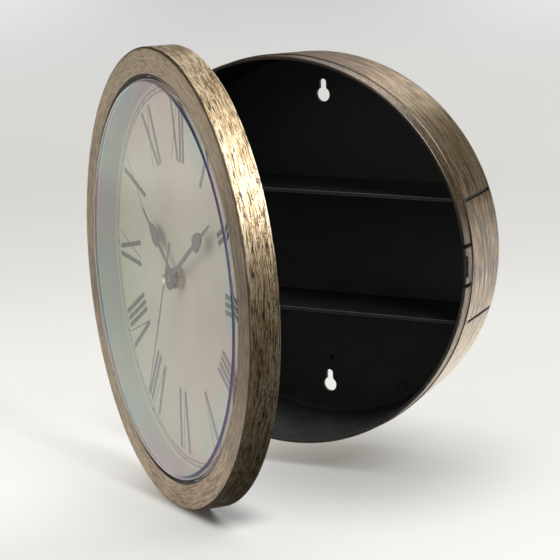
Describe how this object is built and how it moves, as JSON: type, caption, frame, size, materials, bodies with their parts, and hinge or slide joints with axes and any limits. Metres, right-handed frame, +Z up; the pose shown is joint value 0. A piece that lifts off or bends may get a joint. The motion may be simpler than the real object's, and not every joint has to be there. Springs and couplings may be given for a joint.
{
  "type": "clock diversion safe",
  "caption": "Round wall clock whose brushed bronze bezel and dial swing open as a door over a shallow drum with shelves for hiding small valuables.",
  "frame": {"origin": "middle of the drum's flat back face, which lies against the wall", "axes": "+Z up, -Y out of the wall towards the viewer, +X to the right seen from the front"},
  "size_m": [0.2442, 0.2256, 0.255],
  "materials": {
    "bronze": "moulded plastic with a brushed and rubbed antique bronze lacquer",
    "black_plastic": "fine matt moulding",
    "pan_plastic": "fine matt moulding",
    "clear_lens": "clear moulded crystal with a rounded shoulder",
    "dial_print": "printed card with a faint sheen",
    "hand_paint": "thin stamped sheet in dark grey paint",
    "brass": "turned, lightly polished",
    "steel": "bright drawn steel",
    "acetal": "natural white gear plastic",
    "cell_sleeve": "plain shrink sleeve on a steel can"
  },
  "bodies": {
    "case": {"drum_shell": "bronze", "upper_shelf": "black_plastic", "lower_shelf": "black_plastic"},
    "door": {"bezel_ring": "bronze", "hinge_pin": "steel", "lens": "clear_lens", "dial_pan": "pan_plastic", "dial_sheet": "dial_print", "dial_washer": "brass", "hex_nut": "brass", "threaded_bush": "brass", "pan_screw_1": "steel", "pan_screw_2": "steel", "pan_screw_3": "steel", "pan_screw_4": "steel", "movement_case": "black_plastic", "movement_cover": "black_plastic", "battery": "cell_sleeve", "positive_contact": "steel", "negative_contact": "steel"},
    "hour": {"hour_hand": "hand_paint", "hour_tube": "acetal"},
    "minute": {"minute_hand": "hand_paint", "minute_tube": "acetal"},
    "second": {"second_hand": "hand_paint", "second_cap": "brass", "second_shaft": "steel"},
    "knob": {"set_knob": "black_plastic"}
  },
  "joints": [
    {"name": "door_hinge", "type": "hinge", "parent": "case", "child": "door", "pos_m": [-0.12187, -0.06532, 0], "axis": [0, 0, -1], "range_deg": [-38.9, 18.1]},
    {"name": "second_turn", "type": "hinge", "parent": "door", "child": "second", "pos_m": [-0.02237, -0.13608, 0], "axis": [0.628, 0.7782, 0], "continuous": true},
    {"name": "minute_turn", "type": "hinge", "parent": "door", "child": "minute", "pos_m": [-0.02237, -0.13608, 0], "axis": [0.628, 0.7782, 0], "continuous": true},
    {"name": "hour_turn", "type": "hinge", "parent": "door", "child": "hour", "pos_m": [-0.02237, -0.13608, 0], "axis": [0.628, 0.7782, 0], "continuous": true},
    {"name": "set_knob_turn", "type": "hinge", "parent": "door", "child": "knob", "pos_m": [-0.00179, -0.12968, 0.009], "axis": [0.628, 0.7782, 0], "continuous": true}
  ],
  "couplings": [
    {"joint": "minute_turn", "follows": "second_turn", "ratio": 0.016667},
    {"joint": "hour_turn", "follows": "second_turn", "ratio": 0.0013889},
    {"joint": "set_knob_turn", "follows": "second_turn", "ratio": -0.016667}
  ]
}
